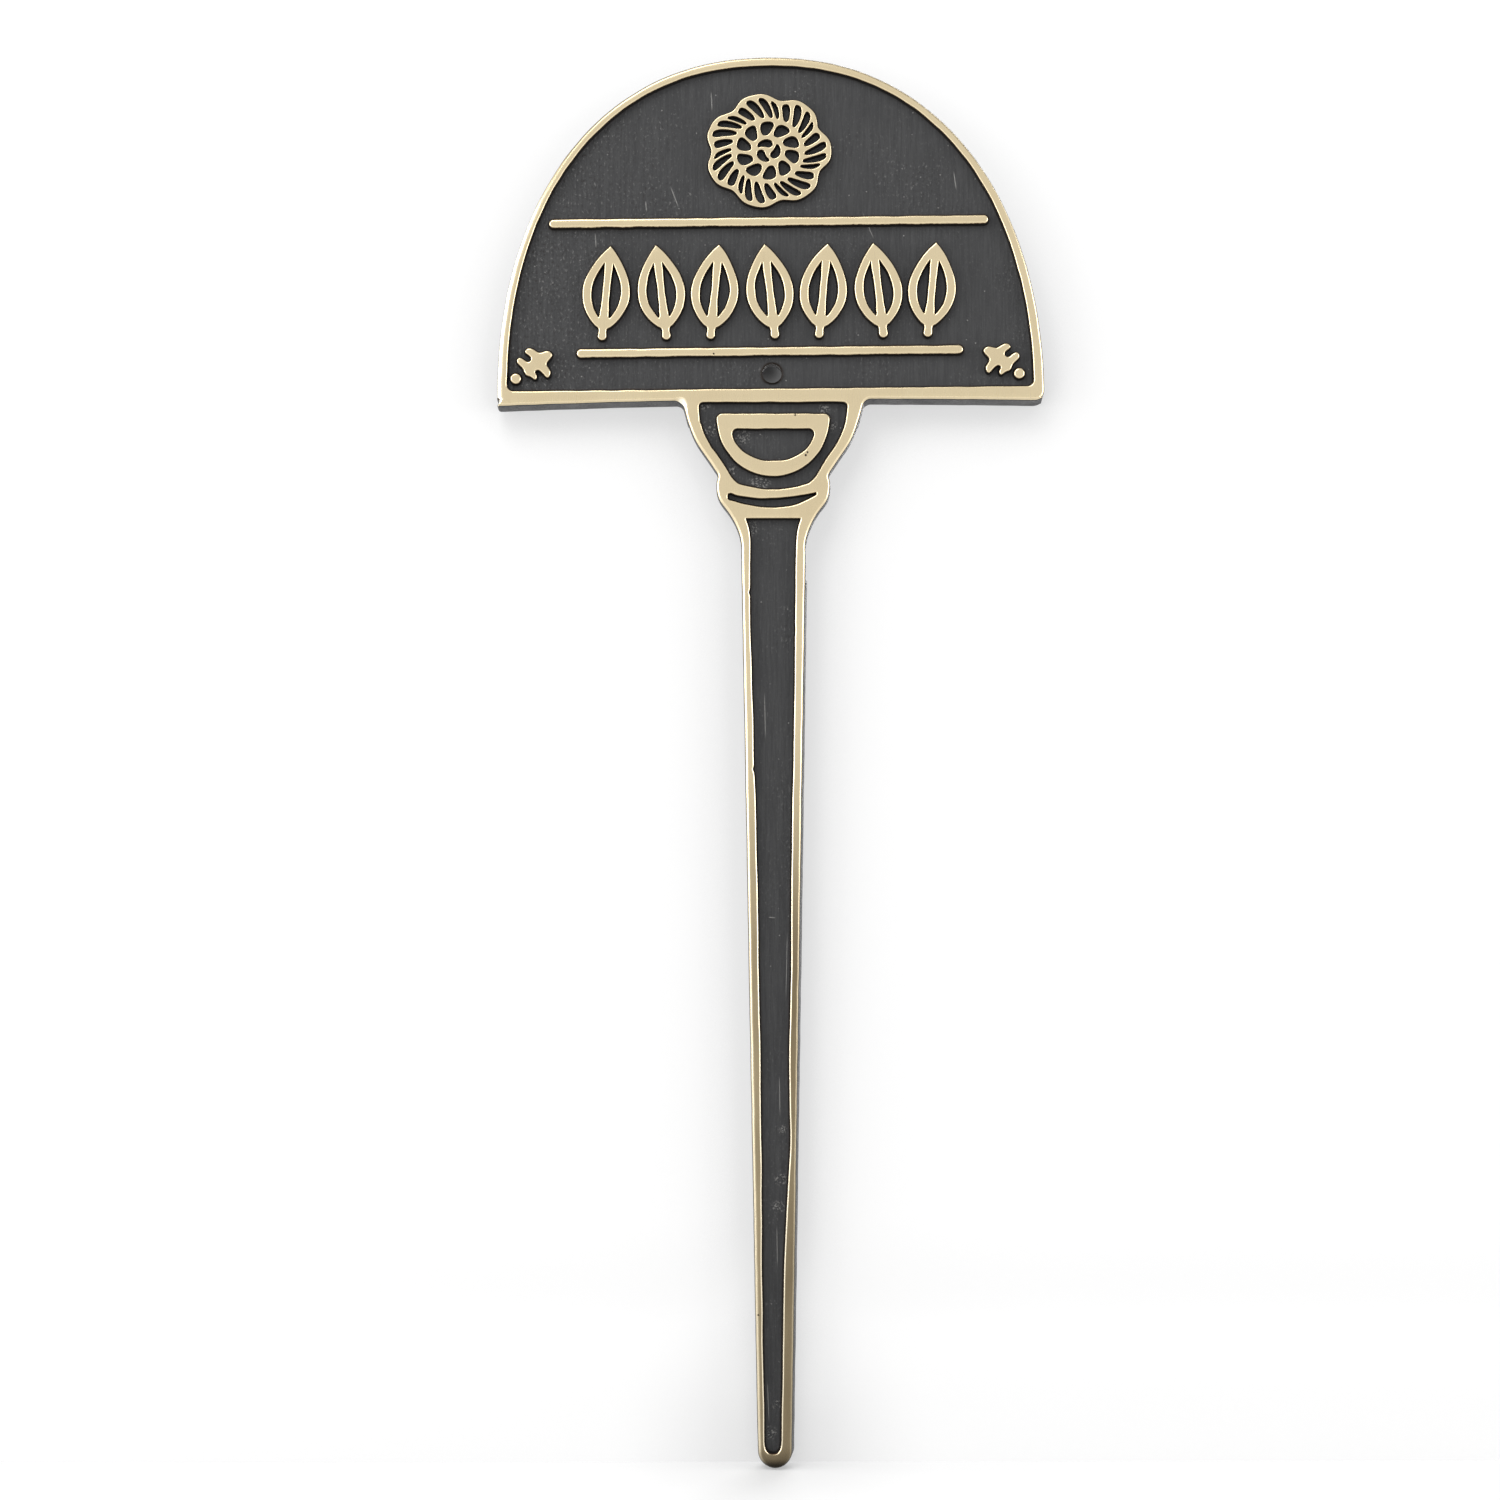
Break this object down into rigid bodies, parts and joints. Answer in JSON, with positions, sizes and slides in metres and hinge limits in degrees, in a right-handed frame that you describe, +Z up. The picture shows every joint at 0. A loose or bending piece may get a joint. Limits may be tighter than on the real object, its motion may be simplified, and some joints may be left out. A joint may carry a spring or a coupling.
{
  "type": "plant label stake",
  "caption": "Cast brass plant label stake: half-round head with raised rim, bars, leaf row and rosette on black ground, small screw hole, moulded neck and long tapered channelled stake.",
  "frame": {"origin": "under the tip of the stake, at mid width of the whole part and mid thickness", "axes": "+Z up the stake to the head, +X to the reader's right, the face looks along -Y and the flat back along +Y"},
  "size_m": [0.0992, 0.0048, 0.254],
  "materials": {
    "polished_brass": "sand-cast brass, linished and polished on the raised faces",
    "black_enamel": "matte black enamel, a little worn"
  },
  "bodies": {
    "root": {"brass_casting": "polished_brass", "back_and_edge_enamel": "black_enamel", "head_ground_enamel": "black_enamel", "leaf_1_enamel": "black_enamel", "leaf_2_enamel": "black_enamel", "leaf_3_enamel": "black_enamel", "leaf_4_enamel": "black_enamel", "leaf_5_enamel": "black_enamel", "leaf_6_enamel": "black_enamel", "leaf_7_enamel": "black_enamel", "rosette_lobe_1_enamel": "black_enamel", "rosette_lobe_2_enamel": "black_enamel", "rosette_lobe_3_enamel": "black_enamel", "rosette_lobe_4_enamel": "black_enamel", "rosette_lobe_5_enamel": "black_enamel", "rosette_lobe_6_enamel": "black_enamel", "rosette_lobe_7_enamel": "black_enamel", "rosette_inner_ring_enamel": "black_enamel", "rosette_heart_enamel": "black_enamel", "neck_recess_enamel": "black_enamel", "half_moon_enamel": "black_enamel", "collar_groove_enamel": "black_enamel", "stake_channel_enamel": "black_enamel"}
  },
  "joints": []
}
